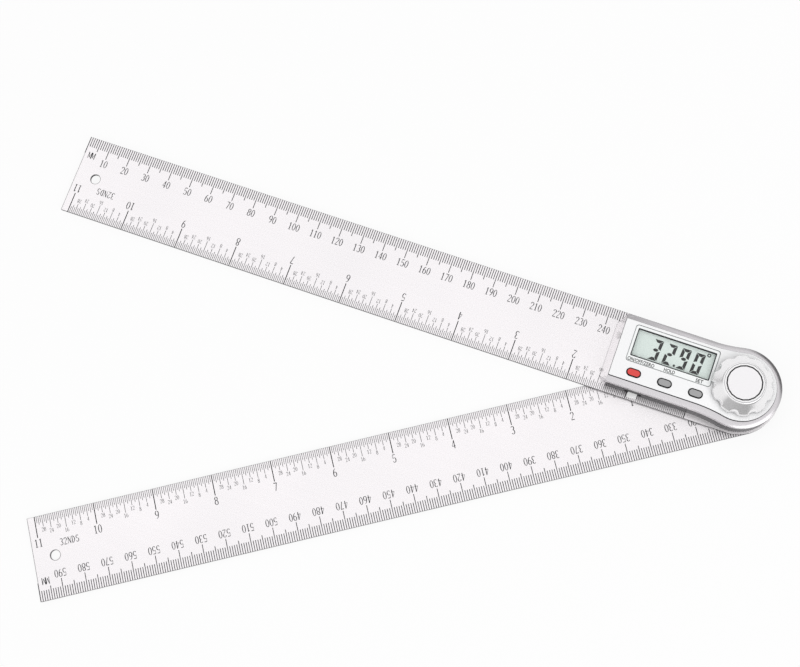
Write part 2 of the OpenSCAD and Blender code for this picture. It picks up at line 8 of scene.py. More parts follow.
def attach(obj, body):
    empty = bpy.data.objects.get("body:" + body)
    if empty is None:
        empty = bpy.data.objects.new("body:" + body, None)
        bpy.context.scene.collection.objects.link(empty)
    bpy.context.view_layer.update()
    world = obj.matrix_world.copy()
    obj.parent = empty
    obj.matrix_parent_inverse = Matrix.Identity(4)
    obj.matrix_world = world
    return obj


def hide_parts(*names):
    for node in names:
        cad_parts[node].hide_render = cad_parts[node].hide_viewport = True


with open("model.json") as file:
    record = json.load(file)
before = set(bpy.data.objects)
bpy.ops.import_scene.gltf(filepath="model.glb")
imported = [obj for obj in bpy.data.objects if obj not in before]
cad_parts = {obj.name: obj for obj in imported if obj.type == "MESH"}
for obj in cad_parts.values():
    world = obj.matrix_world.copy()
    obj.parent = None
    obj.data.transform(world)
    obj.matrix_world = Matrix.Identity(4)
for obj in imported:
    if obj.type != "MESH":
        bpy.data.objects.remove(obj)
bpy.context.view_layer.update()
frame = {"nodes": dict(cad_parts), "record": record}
nodes = frame["nodes"]
bodies = frame["record"]["behaviour"]["bodies"]
nodeBody = {nodeName: body for body, names in bodies.items() for nodeName in names}
mm = 0.001
print("frame loaded:", len(nodes), "nodes")


class Wire:
    # a node's output that Python arithmetic can work on
    def __init__(self, graph, socket):
        self.graph = graph
        self.socket = socket

    def __add__(self, other):
        return self.graph.maths("ADD", self, other)

    def __radd__(self, other):
        return self.graph.maths("ADD", other, self)

    def __sub__(self, other):
        return self.graph.maths("SUBTRACT", self, other)

    def __rsub__(self, other):
        return self.graph.maths("SUBTRACT", other, self)

    def __mul__(self, other):
        return self.graph.maths("MULTIPLY", self, other)

    def __rmul__(self, other):
        return self.graph.maths("MULTIPLY", other, self)

    def __mod__(self, other):
        return self.graph.maths("FLOORED_MODULO", self, other)

    def __lt__(self, other):
        return self.graph.maths("LESS_THAN", self, other)

    def __gt__(self, other):
        return self.graph.maths("GREATER_THAN", self, other)

    def __abs__(self):
        return self.graph.maths("ABSOLUTE", self)

    def out(self, name):
        return Wire(self.graph, self.socket.node.outputs[name])


class Graph:
    def __init__(self, tree):
        self.tree = tree

    def node(self, kind, settings=None, sockets=None, output=0):
        made = self.tree.nodes.new(kind)
        for name, value in (settings or {}).items():
            setattr(made, name, value)
        for key, value in (sockets or {}).items():
            if isinstance(value, Wire):
                self.tree.links.new(value.socket, made.inputs[key])
            else:
                made.inputs[key].default_value = value
        return Wire(self, made.outputs[output]) if made.outputs else None

    def maths(self, operation, first, second=None):
        sockets = {0: first} if second is None else {0: first, 1: second}
        return self.node("ShaderNodeMath", {"operation": operation}, sockets)

    def step(self, value, low, high):  # 0 below low, 1 above high, smooth between
        sockets = {"Value": value, "From Min": low, "From Max": high}
        return self.node("ShaderNodeMapRange", {"interpolation_type": "SMOOTHSTEP"}, sockets)

    def blend(self, factor, first, second):
        return self.node("ShaderNodeMix", {"data_type": "RGBA"}, {0: factor, 6: first, 7: second}, 2)

    def split(self, vector):
        x = self.node("ShaderNodeSeparateXYZ", None, {0: vector})
        return x, x.out("Y"), x.out("Z")

    def join(self, x, y=0.0, z=0.0):
        return self.node("ShaderNodeCombineXYZ", None, {"X": x, "Y": y, "Z": z})

    def length(self, vector):
        return self.node("ShaderNodeVectorMath", {"operation": "LENGTH"}, {0: vector}, "Value")


def tone(red, green, blue):  # a colour as it is seen, 0 to 255, to the renderer's own scale
    def linear(value):
        value /= 255
        return value / 12.92 if value < 0.04045 else ((value + 0.055) / 1.055) ** 2.4
    return (linear(red), linear(green), linear(blue), 1.0)


def darker(colour, share):
    return tuple(channel * (1 - share) for channel in colour[:3]) + (1.0,)


def newMaterial(name):
    made = bpy.data.materials.new(name)
    made.use_nodes = True
    made.node_tree.nodes.clear()
    return made, Graph(made.node_tree)


def finishMaterial(made, graph, sockets):
    shader = graph.node("ShaderNodeBsdfPrincipled", None, sockets)
    graph.node("ShaderNodeOutputMaterial", None, {"Surface": shader})
    return made


def objectPlace(graph, scale=(1, 1, 1), turn=0.0):
    place = graph.node("ShaderNodeTexCoord", None, None, "Object")
    sockets = {"Vector": place, "Rotation": (0, 0, turn), "Scale": scale}
    return graph.node("ShaderNodeMapping", None, sockets)


def noise(graph, place, scale, detail=3.0, roughness=0.55):
    sockets = {"Vector": place, "Scale": scale, "Detail": detail, "Roughness": roughness}
    return graph.node("ShaderNodeTexNoise", None, sockets)


def bump(graph, height, strength, distance=0.01 * mm):
    sockets = {"Height": height, "Strength": strength, "Distance": distance}
    return graph.node("ShaderNodeBump", None, sockets)


# moulded, painted or plated plastic: base colour, how much it varies, gloss, the grain of its skin and
# how metallic its paint is; side is a dark colour painted on its upright walls as shade, end a light
# colour painted on a wall that faces -X as a highlight, and foot is the height in mm under which a
# painted shadow line runs round it
plasticLooks = {
    # the base frame and battery tray: dark grey as painted shade of the housing's upright walls
    "paintedShadeGrey": {"colour": tone(72, 70, 73), "vary": 0.10, "roughness": 0.42, "grain": 0.10},
    "silverPaint": {"colour": tone(214, 211, 214), "vary": 0.04, "roughness": 0.22, "grain": 0.03,
                    "metallic": 0.90, "foot": 3.0, "footShadowTone": tone(120, 119, 122),
                    "end": tone(252, 250, 251)},
    "knobSilver": {"colour": tone(244, 243, 244), "vary": 0.03, "roughness": 0.14, "grain": 0.02,
                   "metallic": 0.85, "foot": 14.2, "footShadowTone": tone(64, 64, 68)},
    "faceWhite": {"colour": tone(251, 251, 252), "vary": 0.02, "roughness": 0.30, "grain": 0.03,
                  "side": tone(34, 34, 38)},
    "holderPlastic": {"colour": tone(230, 228, 220), "vary": 0.05, "roughness": 0.50, "grain": 0.10},
    "whitePlastic": {"colour": tone(250, 250, 250), "vary": 0.03, "roughness": 0.36, "grain": 0.06},
    "redKey": {"colour": tone(228, 70, 66), "vary": 0.06, "roughness": 0.40, "grain": 0.12,
               "side": tone(40, 14, 16)},
    "greyKey": {"colour": tone(166, 166, 167), "vary": 0.06, "roughness": 0.40, "grain": 0.12,
                "side": tone(24, 24, 26)},
    "capWhite": {"colour": tone(248, 246, 248), "vary": 0.02, "roughness": 0.30, "grain": 0.04},
    "ringGrey": {"colour": tone(150, 150, 153), "vary": 0.05, "roughness": 0.40, "grain": 0.02},
    "stripRubber": {"colour": tone(178, 178, 180), "vary": 0.12, "roughness": 0.65, "grain": 0.20},
    "chipBlack": {"colour": tone(34, 34, 36), "vary": 0.10, "roughness": 0.55, "grain": 0.25},
    "inkBlack": {"colour": tone(12, 12, 14), "vary": 0.20, "roughness": 0.60, "grain": 0.02},
    "inkGrey": {"colour": tone(46, 46, 50), "vary": 0.15, "roughness": 0.55, "grain": 0.02},
}
skinLook = {"mottle": 90.0, "mottleGloss": 0.08, "skin": 2600.0, "skinDetail": 2.0, "skinGloss": 0.05,
            "depth": 0.02 * mm, "upright": 0.5, "facesEnd": -0.8}


def facing(graph):  # the X, Y and Z of the direction that a wall faces
    return graph.split(graph.node("ShaderNodeNewGeometry", None, None, "True Normal"))


def uprightMask(graph):  # 1 on walls that stand upright, 0 on level faces
    return abs(facing(graph)[2]) < skinLook["upright"]


def plastic(name):
    look = plasticLooks[name]
    made, graph = newMaterial(name)
    place = objectPlace(graph)
    mottle = noise(graph, place, skinLook["mottle"])
    skin = noise(graph, place, skinLook["skin"], skinLook["skinDetail"])
    colour = graph.blend(mottle, look["colour"], darker(look["colour"], look["vary"]))
    # side: upright walls darkened as painted shade
    if "side" in look:
        colour = graph.blend(uprightMask(graph), colour, look["side"])
    # end: the wall facing -X painted lighter as a highlight
    if "end" in look:
        colour = graph.blend(facing(graph)[0] < skinLook["facesEnd"], colour, look["end"])
    # foot: a painted shadow line along the lowest band
    if "foot" in look:
        height = graph.split(place)[2]
        colour = graph.blend(height < look["foot"] * mm, colour, look["footShadowTone"])
    roughness = look["roughness"] + skinLook["mottleGloss"] * (mottle - 0.5)
    roughness = roughness + skinLook["skinGloss"] * (skin - 0.5)
    return finishMaterial(made, graph, {
        "Base Color": colour, "Roughness": roughness, "Metallic": look.get("metallic", 0.0),
        "Normal": bump(graph, skin, look["grain"], skinLook["depth"])})


metalLooks = {
    "turnedSteel": {"colour": tone(205, 205, 207), "roughness": 0.26, "rings": 5200.0},
    "screwSteel": {"colour": tone(120, 122, 128), "roughness": 0.38, "rings": 2600.0},
    "bearingBrass": {"colour": tone(205, 176, 112), "roughness": 0.28, "rings": 4200.0},
    "goldLeaf": {"colour": tone(214, 186, 118), "roughness": 0.30, "rings": 1500.0},
    "springSteel": {"colour": tone(205, 205, 208), "roughness": 0.32, "rings": 1500.0},
}
turnedLook = {"stain": 140.0, "stainShade": 0.14, "stainGloss": 0.12,
              "waver": 400.0, "waverBy": 3.0, "relief": 0.08}


def metal(name):  # turned or pressed metal with fine rings about the pivot axis
    look = metalLooks[name]
    made, graph = newMaterial(name)
    place = objectPlace(graph)
    x, y, z = graph.split(place)
    waver = turnedLook["waverBy"] * noise(graph, place, turnedLook["waver"])
    rings = graph.maths("SINE", graph.length(graph.join(x, y)) * look["rings"] + waver)
    stain = noise(graph, place, turnedLook["stain"])
    shade = darker(look["colour"], turnedLook["stainShade"])
    return finishMaterial(made, graph, {
        "Base Color": graph.blend(stain, look["colour"], shade), "Metallic": 1.0,
        "Roughness": look["roughness"] + turnedLook["stainGloss"] * (stain - 0.5),
        "Normal": bump(graph, rings, turnedLook["relief"])})


# edge is painted shade: the dark of the cut edges and of the thin line beside them
rulerLook = {
    "length": 300.0, "width": 35.5, "fixedTop": 2.7, "swingTop": 1.2, "holeAt": 9.2, "hole": 4.2,
    "colour": tone(254, 250, 252), "tint": tone(242, 239, 241), "edge": tone(62, 61, 64),
    "roughness": 0.26, "metallic": 0.60, "grain": 0.05, "edgeShadeWidth": 0.22, "edgeShadeDepth": 0.80, "soft": 0.12,
    "grainStretch": (14, 900, 900), "grainSize": 6.0, "grainDetail": 4.0, "grainGloss": 0.10,
    "streakStretch": (3, 160, 160), "streakSize": 4.0, "streak": 0.06, "streakTone": tone(150, 149, 151),
    "cloudSize": 14.0, "cloudDetail": 2.0, "cloudGloss": 0.06}


def burrMask(graph, turn):  # a thin painted shade line at the ruler's tip, along its long edges and round its hole
    look = rulerLook
    x, y, z = graph.split(objectPlace(graph, (1, 1, 1), turn))
    atTip = x < (look["edgeShadeWidth"] - look["length"]) * mm
    atEdge = abs(y) > (look["width"] - look["edgeShadeWidth"]) / 2 * mm
    fromHole = graph.length(graph.join(x + (look["length"] - look["holeAt"]) * mm, y))
    atHole = fromHole < (look["hole"] / 2 + look["edgeShadeWidth"]) * mm
    return graph.maths("MAXIMUM", atHole, graph.maths("MAXIMUM", atTip, atEdge))


def rulerSteel(name, turn):  # satin sheet steel, its grain along the ruler, its cut edges and a line beside them darkened as painted shade
    look = rulerLook
    made, graph = newMaterial(name)
    along = objectPlace(graph, look["grainStretch"], turn)
    grain = noise(graph, along, look["grainSize"], look["grainDetail"])
    streak = noise(graph, objectPlace(graph, look["streakStretch"], turn), look["streakSize"])
    cloud = noise(graph, objectPlace(graph), look["cloudSize"], look["cloudDetail"])
    face = graph.blend(cloud, look["colour"], look["tint"])
    face = graph.blend(look["streak"] * streak, face, look["streakTone"])
    # painted shade: a dark line beside the cut edges, and the upright cut edges darkened
    face = graph.blend(burrMask(graph, turn) * look["edgeShadeDepth"], face, look["edge"])
    colour = graph.blend(uprightMask(graph), face, look["edge"])
    roughness = look["roughness"] + look["grainGloss"] * (grain - 0.5)
    roughness = roughness + look["cloudGloss"] * (cloud - 0.5)
    return finishMaterial(made, graph, {
        "Base Color": colour, "Metallic": look["metallic"], "Roughness": roughness,
        "Normal": bump(graph, grain, look["grain"])})


boardLook = {
    "green": tone(36, 92, 54), "deepGreen": tone(24, 70, 42), "mottle": 120.0, "mottleGloss": 0.1,
    "cells": 420.0, "track": (0.10, 0.04), "trackTone": tone(66, 128, 78), "trackShare": 0.5,
    "roughness": 0.32, "relief": 0.2, "depth": 0.03 * mm}


def circuitBoard(name):  # green resist with paler tracks under it
    look = boardLook
    made, graph = newMaterial(name)
    place = objectPlace(graph)
    cells = graph.node("ShaderNodeTexVoronoi", {"feature": "DISTANCE_TO_EDGE"},
                       {"Vector": place, "Scale": look["cells"]})
    tracks = graph.step(cells, *look["track"])
    mottle = noise(graph, place, look["mottle"])
    green = graph.blend(mottle, look["green"], look["deepGreen"])
    return finishMaterial(made, graph, {
        "Base Color": graph.blend(tracks * look["trackShare"], green, look["trackTone"]), "Metallic": 0.0,
        "Roughness": look["roughness"] + look["mottleGloss"] * mottle,
        "Normal": bump(graph, tracks, look["relief"], look["depth"])})


displayLook = {
    "colour": tone(228, 239, 234), "shade": tone(219, 231, 226), "cloud": 60.0, "detail": 2.0,
    "weaveStretch": (1, 6, 1), "weave": 900.0, "weaveGloss": 0.08, "roughness": 0.28, "relief": 0.04}


def displayPanel(name):  # the pale grey-green ground behind the digits
    look = displayLook
    made, graph = newMaterial(name)
    cloud = noise(graph, objectPlace(graph), look["cloud"], look["detail"])
    weave = noise(graph, objectPlace(graph, look["weaveStretch"]), look["weave"], look["detail"])
    return finishMaterial(made, graph, {
        "Base Color": graph.blend(cloud, look["colour"], look["shade"]), "Metallic": 0.0,
        "Roughness": look["roughness"] + look["weaveGloss"] * weave,
        "Normal": bump(graph, weave, look["relief"])})


windowLook = {
    "border": tone(250, 252, 252), "middle": (-29.9 * mm, 3.4 * mm), "size": (35.8 * mm, 15.8 * mm),
    "round": 1.2 * mm, "rim": 0.25 * mm, "rimTone": tone(176, 180, 180),
    "viewMiddle": (-29.9 * mm, 4.0 * mm), "viewSize": (32.6 * mm, 11.3 * mm), "viewLine": 0.44 * mm,
    "viewTone": tone(36, 40, 42), "clearAlpha": 0.02,
    "mottle": 200.0, "mottleGloss": 0.05, "roughness": 0.16, "relief": 0.03}


def outsideBox(graph, x, y, middle, size, radius):  # distance outside a rounded box, less than 0 inside
    acrossX = abs(x - middle[0]) - (size[0] / 2 - radius)
    acrossY = abs(y - middle[1]) - (size[1] / 2 - radius)
    corner = graph.join(graph.maths("MAXIMUM", acrossX, 0.0), graph.maths("MAXIMUM", acrossY, 0.0))
    within = graph.maths("MINIMUM", graph.maths("MAXIMUM", acrossX, acrossY), 0.0)
    return graph.length(corner) + within - radius


def clearWindow(name):  # clear over the display, printed white round it, with a dark line between
    made, graph = newMaterial(name)
    look = windowLook
    place = objectPlace(graph)
    x, y, z = graph.split(place)
    outside = outsideBox(graph, x, y, look["viewMiddle"], look["viewSize"], 0.0)
    isBorder = outside > 0.0
    isLine = isBorder * (outside < look["viewLine"])
    isRim = outsideBox(graph, x, y, look["middle"], look["size"], look["round"]) > -look["rim"]
    mottle = noise(graph, place, look["mottle"])
    colour = graph.blend(isRim, look["border"], look["rimTone"])
    colour = graph.blend(isLine, colour, look["viewTone"])
    clear = look["clearAlpha"]
    return finishMaterial(made, graph, {
        "Base Color": colour, "Metallic": 0.0,
        "Roughness": look["roughness"] + look["mottleGloss"] * mottle,
        "Alpha": clear + (1 - clear) * isBorder, "Normal": bump(graph, mottle, look["relief"])})


finishes = {name: plastic(name) for name in plasticLooks}
finishes.update({name: metal(name) for name in metalLooks})
restAngle = math.radians(32.9)
finishes["fixedSteel"] = rulerSteel("fixedSteel", 0.0)
finishes["swingSteel"] = rulerSteel("swingSteel", -restAngle)
finishes["boardGreen"] = circuitBoard("boardGreen")
finishes["displayPanel"] = displayPanel("displayPanel")
finishes["clearWindow"] = clearWindow("clearWindow")

nodeFinish = {
    "fixed_ruler": "fixedSteel", "base_frame": "paintedShadeGrey", "head_cover": "silverPaint",
    "face_plate": "faceWhite", "display_window": "clearWindow", "lcd_panel": "displayPanel",
    "lcd_holder": "holderPlastic", "zebra_strips": "stripRubber", "circuit_board": "boardGreen",
    "measuring_chip": "chipBlack", "switch_domes": "springSteel", "positive_contact": "goldLeaf",
    "negative_contact": "goldLeaf", "bearing_ring": "bearingBrass", "collar_bush": "turnedSteel",
    "slip_washer": "whitePlastic", "cover_screws": "screwSteel", "board_screws": "screwSteel",
    "power_button": "redKey", "hold_button": "greyKey", "set_button": "greyKey",
    "battery_tray": "paintedShadeGrey", "pull_tab": "whitePlastic", "coin_cell": "springSteel",
    "swing_ruler": "swingSteel", "pivot_hub": "turnedSteel", "hub_screws": "screwSteel",
    "rotor_disc": "boardGreen", "rotor_screws": "screwSteel", "stop_clip": "screwSteel",
    "clamp_washer": "turnedSteel", "lock_knob": "knobSilver", "knob_insert": "bearingBrass",
    "knob_cap": "capWhite"}

for nodeName, finishName in nodeFinish.items():
    cadNode = nodes[nodeName]
    if not cadNode.material_slots:
        cadNode.data.materials.append(finishes[finishName])
    for slot in cadNode.material_slots:
        slot.material = finishes[finishName]
print("finishes made:", len(finishes))


def addPiece(name, mesh, material=None):
    made = bpy.data.objects.new(name, mesh)
    bpy.context.scene.collection.objects.link(made)
    if material:
        mesh.materials.clear()
        mesh.materials.append(finishes[material])
    return made


def meshOf(name, faces, z=0.0):  # faces are lists of 2-D points in millimetres
    mesh = bpy.data.meshes.new(name)
    points = []
    polygons = []
    for face in faces:
        polygons.append(range(len(points), len(points) + len(face)))
        points += [(x * mm, y * mm, z) for x, y in face]
    mesh.from_pydata(points, [], polygons)
    mesh.update()
    return mesh


def applied(piece):  # what the modifiers make of a piece, as its plain mesh
    graph = bpy.context.evaluated_depsgraph_get()
    mesh = bpy.data.meshes.new_from_object(piece.evaluated_get(graph))
    piece.modifiers.clear()
    piece.data = mesh
    return piece


softLook = {"weld": 0.002, "flatAngle": 1.0, "sharpAngle": 28, "creaseAngle": 32, "segments": 2}


def softEdges(nodeName, width):  # the CAD piece again, with its edges rounded
    mesh = nodes[nodeName].data.copy()
    shape = bmesh.new()
    shape.from_mesh(mesh)
    bmesh.ops.remove_doubles(shape, verts=shape.verts, dist=softLook["weld"] * mm)
    flat = math.radians(softLook["flatAngle"])
    bmesh.ops.dissolve_limit(shape, angle_limit=flat, verts=shape.verts, edges=shape.edges)
    shape.to_mesh(mesh)
    shape.free()
    piece = addPiece(nodeName + "_soft", mesh, nodeFinish[nodeName])
    bevel = piece.modifiers.new("edges", "BEVEL")
    bevel.width = width * mm
    bevel.segments = softLook["segments"]
    bevel.limit_method = "ANGLE"
    bevel.angle_limit = math.radians(softLook["sharpAngle"])
    applied(piece)
    smooth(piece)
    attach(piece, nodeBody[nodeName])
    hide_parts(nodeName)


def smooth(piece):
    piece.data.shade_smooth()
    piece.data.set_sharp_from_angle(angle=math.radians(softLook["creaseAngle"]))
    weighted = piece.modifiers.new("normals", "WEIGHTED_NORMAL")
    weighted.keep_sharp = True
    applied(piece)


inkLook = {"lift": 0.01, "height": 0.02}
inchLook = {"size": 25.4, "zero": 282.6, "count": 11}  # its zero is that far from the tip
inchEnds = {"first": inchLook["zero"] - inchLook["count"] * inchLook["size"], "last": inchLook["zero"]}
scales = {  # first and last are distances from the tip, lengths go by the division of each tick
    "millimetre": {"first": 0.0, "last": 300.0, "pitch": 1.0, "line": 0.32,
                   "lengths": {1: 4.4, 5: 5.8, 10: 7.8}},
    "inch": {**inchEnds, "pitch": inchLook["size"] / 32, "line": 0.21,
             "lengths": {1: 2.9, 2: 3.7, 4: 4.8, 8: 5.9, 16: 7.2, 32: 9.0}},
    "wholeInch": {**inchEnds, "pitch": inchLook["size"], "line": 0.38, "lengths": {1: 9.0}}}


def newTree(name, sizes):  # a tree with a count and named sizes as inputs, and a row of points on X
    tree = bpy.data.node_groups.new(name, "GeometryNodeTree")
    tree.interface.new_socket("Geometry", in_out="OUTPUT", socket_type="NodeSocketGeometry")
    tree.interface.new_socket("Count", in_out="INPUT", socket_type="NodeSocketInt")
    for title in ["Pitch"] + sizes:
        tree.interface.new_socket(title, in_out="INPUT", socket_type="NodeSocketFloat")
    graph = Graph(tree)
    given = graph.node("NodeGroupInput")
    sockets = {"Count": given.out("Count"), "Offset": graph.join(given.out("Pitch"))}
    return graph, given, graph.node("GeometryNodeMeshLine", {"mode": "OFFSET"}, sockets)


def tickTree(name, lengths, material):
    # bars along X, each as long as the highest division that it falls on
    every = ["Every %d" % division for division in lengths]
    graph, given, row = newTree(name, ["Line", "Height"] + every)
    index = graph.node("GeometryNodeInputIndex")
    length = given.out("Every 1")
    for division in sorted(lengths)[1:]:
        isOn = (index % division) < 0.5
        length = length + isOn * (given.out("Every %d" % division) - length)
    bar = graph.node("GeometryNodeMeshCube")
    bar = graph.node("GeometryNodeTransform", None, {"Geometry": bar, "Translation": (0.0, -0.5, 0.5)})
    size = graph.join(given.out("Line"), length, given.out("Height"))
    sockets = {"Points": row, "Instance": bar, "Scale": size}
    bars = graph.node("GeometryNodeInstanceOnPoints", None, sockets)
    return endTree(graph, bars, material)


def endTree(graph, geometry, material):
    geometry = graph.node("GeometryNodeRealizeInstances", None, {"Geometry": geometry})
    sockets = {"Geometry": geometry, "Material": finishes[material]}
    geometry = graph.node("GeometryNodeSetMaterial", None, sockets)
    graph.node("NodeGroupOutput", None, {"Geometry": geometry})
    return graph.tree


def useTree(name, tree, values):  # the plain mesh that a tree makes, its inputs given by name
    piece = addPiece(name, bpy.data.meshes.new(name))
    modifier = piece.modifiers.new("tree", "NODES")
    modifier.node_group = tree
    for entry in tree.interface.items_tree:
        if entry.in_out == "INPUT" and entry.name in values:
            modifier[entry.identifier] = values[entry.name]
    return applied(piece)


def tickRow(name, tree, look, side):  # side is 1 on the ruler's +Y edge and -1 on its -Y edge
    values = {"Count": round((look["last"] - look["first"]) / look["pitch"]) + 1,
              "Pitch": look["pitch"] * mm, "Line": look["line"] * mm, "Height": inkLook["height"] * mm}
    for division, length in look["lengths"].items():
        values["Every %d" % division] = length * mm
    piece = useTree(name, tree, values)
    start = look["first"] if side > 0 else look["last"]
    edge = side * rulerLook["width"] / 2
    place = Matrix.Translation(((start - rulerLook["length"]) * mm, edge * mm, 0))
    piece.data.transform(place @ Matrix.Rotation(0 if side > 0 else math.pi, 4, "Z"))
    return piece


# the strokes of numerals and letters, thick and thin, in a cell one unit high about x = 0
strokeLook = {"thin": 0.05, "thick": 0.11, "turn": 20, "leastSteps": 4}


def bar(x1, y1, x2, y2, width):
    along = Vector((x2 - x1, y2 - y1))
    side = Vector((-along.y, along.x)).normalized() * width / 2
    return [[(x1 - side.x, y1 - side.y), (x2 - side.x, y2 - side.y),
             (x2 + side.x, y2 + side.y), (x1 + side.x, y1 + side.y)]]


def bow(x, y, halfWidth, halfHeight, start, end, thin=strokeLook["thin"], thick=strokeLook["thick"]):
    steps = max(strokeLook["leastSteps"], int(abs(end - start) / strokeLook["turn"]))
    rim = []
    for i in range(steps + 1):
        angle = math.radians(start + (end - start) * i / steps)
        across, up = math.cos(angle), math.sin(angle)
        half = (thin + (thick - thin) * abs(across)) / 2
        rim.append(((x + (halfWidth - half) * across, y + (halfHeight - half) * up),
                    (x + (halfWidth + half) * across, y + (halfHeight + half) * up)))
    turn = 1 if end > start else -1
    return [[a[0], a[1], b[1], b[0]][::turn] for a, b in zip(rim, rim[1:])]


def arc(centre, radius, angles):  # points round a centre, their angles in degrees
    return [(centre[0] + radius * math.cos(angle), centre[1] + radius * math.sin(angle))
            for angle in [math.radians(degrees) for degrees in angles]]


def turned(strokes):
    return [[(-x, 1 - y) for x, y in face] for face in strokes]


glyphs = {
    "0": bow(0, 0.5, 0.18, 0.47, 0, 360),
    "1": (bar(0, 0.02, 0, 0.98, 0.11) + bar(-0.15, 0.80, -0.02, 0.96, 0.05)
          + bar(-0.14, 0.025, 0.14, 0.025, 0.05)),
    "2": (bow(0, 0.74, 0.17, 0.23, 175, -40) + bar(0.13, 0.60, -0.17, 0.07, 0.06)
          + bar(-0.19, 0.045, 0.20, 0.045, 0.09)),
    "3": bow(-0.01, 0.75, 0.16, 0.22, 150, -95) + bow(-0.01, 0.27, 0.18, 0.25, 90, -150),
    "4": (bar(0.08, 0, 0.08, 0.98, 0.11) + bar(0.07, 0.95, -0.20, 0.30, 0.05)
          + bar(-0.22, 0.28, 0.21, 0.28, 0.06)),
    "5": (bar(-0.15, 0.95, 0.17, 0.95, 0.09) + bar(-0.14, 0.94, -0.16, 0.52, 0.05)
          + bow(-0.01, 0.30, 0.18, 0.28, 130, -150)),
    "6": bow(0, 0.29, 0.18, 0.27, 0, 360) + bow(0.12, 0.42, 0.28, 0.54, 180, 95),
    "7": bar(-0.19, 0.94, 0.20, 0.94, 0.10) + bar(0.17, 0.92, -0.06, 0.0, 0.09),
    "8": bow(0, 0.75, 0.15, 0.21, 0, 360) + bow(0, 0.28, 0.18, 0.26, 0, 360),
    "M": (bar(-0.22, 0, -0.22, 0.98, 0.07) + bar(0.22, 0, 0.22, 0.98, 0.11)
          + bar(-0.20, 0.96, 0, 0.15, 0.09) + bar(0, 0.15, 0.20, 0.96, 0.05)),
    "N": (bar(-0.18, 0, -0.18, 0.98, 0.05) + bar(0.18, 0, 0.18, 0.98, 0.05)
          + bar(-0.17, 0.96, 0.17, 0.04, 0.11)),
    "D": bar(-0.15, 0, -0.15, 0.98, 0.11) + bow(-0.14, 0.5, 0.31, 0.47, 90, -90),
    "S": bow(0, 0.74, 0.15, 0.22, 20, 270) + bow(0, 0.27, 0.17, 0.25, 90, -160),
}
glyphs["9"] = turned(glyphs["6"])


def lettering(words, x, y, height, step, upright):
    # faces of a word with its middle at x and its lower side at y; step is from letter to letter
    faces = []
    for i, letter in enumerate(words):
        shift = (i - (len(words) - 1) / 2) * step
        for face in glyphs[letter]:
            points = [(shift + px * height, py * height) for px, py in face]
            if not upright:
                points = [(-px, height - py) for px, py in points]
            faces.append([(x + px, y + py) for px, py in points])
    return faces


wordLook = {
    "height": 3.3, "step": 1.75, "gap": 0.6, "inchHeight": 3.5, "inchStep": 1.85, "inchGap": 0.5,
    "smallHeight": 1.75, "smallStep": 0.92, "smallGap": 0.35, "unitHeight": 3.0,
    "millimetreFromTip": 3.4, "millimetreIn": 6.6, "millimetreStep": 1.6,
    "fractionFromTip": 16.1, "fractionIn": 11.4, "fractionStep": 1.7}


def rulerWords(side, numbers):
    # every word of one ruler along -X; numbers are those at 10, 20, 30... mm from its tip, and the
    # words along its +Y edge are upright
    look = wordLook
    tip = -rulerLook["length"]
    millimetre, inch = scales["millimetre"]["lengths"], scales["inch"]["lengths"]

    def along(words, fromTip, distance, height, step, edge):
        half = rulerLook["width"] / 2
        low = half - distance - height if edge > 0 else distance - half
        return lettering(words, tip + fromTip, low, height, step, edge > 0)

    faces = []
    for i, number in enumerate(numbers):
        faces += along(str(number), 10 * (i + 1), millimetre[10] + look["gap"],
                       look["height"], look["step"], side)
    for whole in range(1, inchLook["count"] + 1):
        place = inchLook["zero"] - inchLook["size"] * whole
        faces += along(str(whole), place, inch[32] + look["inchGap"],
                       look["inchHeight"], look["inchStep"], -side)
        for part in range(4, 32, 4):
            division = 16 if part == 16 else 8 if part % 8 == 0 else 4
            faces += along(str(part), place + inchLook["size"] * (1 - part / 32),
                           inch[division] + look["smallGap"],
                           look["smallHeight"], look["smallStep"], -side)
    faces += along("MM", look["millimetreFromTip"], look["millimetreIn"],
                   look["unitHeight"], look["millimetreStep"], side)
    faces += along("32NDS", look["fractionFromTip"], look["fractionIn"],
                   look["unitHeight"], look["fractionStep"], -side)
    return faces


tickTrees = {kind: tickTree(kind + "Ticks", look["lengths"], "inkGrey") for kind, look in scales.items()}


def graduate(nodeName, body, top, turn, side, numbers):  # side is the edge of the millimetre scale
    pieces = [tickRow(nodeName + "_" + kind + "Ticks", tickTrees[kind], scales[kind], edge)
              for kind, edge in (("millimetre", side), ("inch", -side), ("wholeInch", -side))]
    words = meshOf("numbers", rulerWords(side, numbers))
    pieces.append(addPiece(nodeName + "_numbers", words, "inkGrey"))
    for piece in pieces:
        lift = Matrix.Translation((0, 0, (top + inkLook["lift"]) * mm))
        piece.data.transform(lift @ Matrix.Rotation(turn, 4, "Z"))
        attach(piece, body)


graduate("fixed_ruler", "head", rulerLook["fixedTop"], 0.0, 1, range(10, 250, 10))
graduate("swing_ruler", "swing_arm", rulerLook["swingTop"], restAngle, -1, range(590, 300, -10))
for rulerName in ("fixed_ruler", "swing_ruler"):
    softEdges(rulerName, rulerLook["soft"])
print("rulers graduated")


headLook = {"faceTop": 13.3, "panelTop": 11.9, "soft": {
    "base_frame": 0.15, "head_cover": 0.15, "face_plate": 0.08, "battery_tray": 0.10, "pull_tab": 0.20,
    "knob_cap": 0.10, "display_window": 0.05, "power_button": 0.25, "hold_button": 0.25,
    "set_button": 0.25}}

for nodeName, width in headLook["soft"].items():
    softEdges(nodeName, width)

digitLook = {
    "digits": "3290", "left": -39.2, "foot": -0.85, "step": 5.95, "width": 3.85, "height": 9.05,
    "bar": 1.3, "gap": 0.10, "middleGap": 0.20, "slant": 0.08, "dotAt": (-28.3, -0.2), "dot": 0.52,
    "degreeAt": (-15.95, 8.6), "degree": 0.62, "degreeLine": 0.46}
segmentsOn = {"0": "abcdef", "2": "abdeg", "3": "abcdg", "9": "abcdfg"}


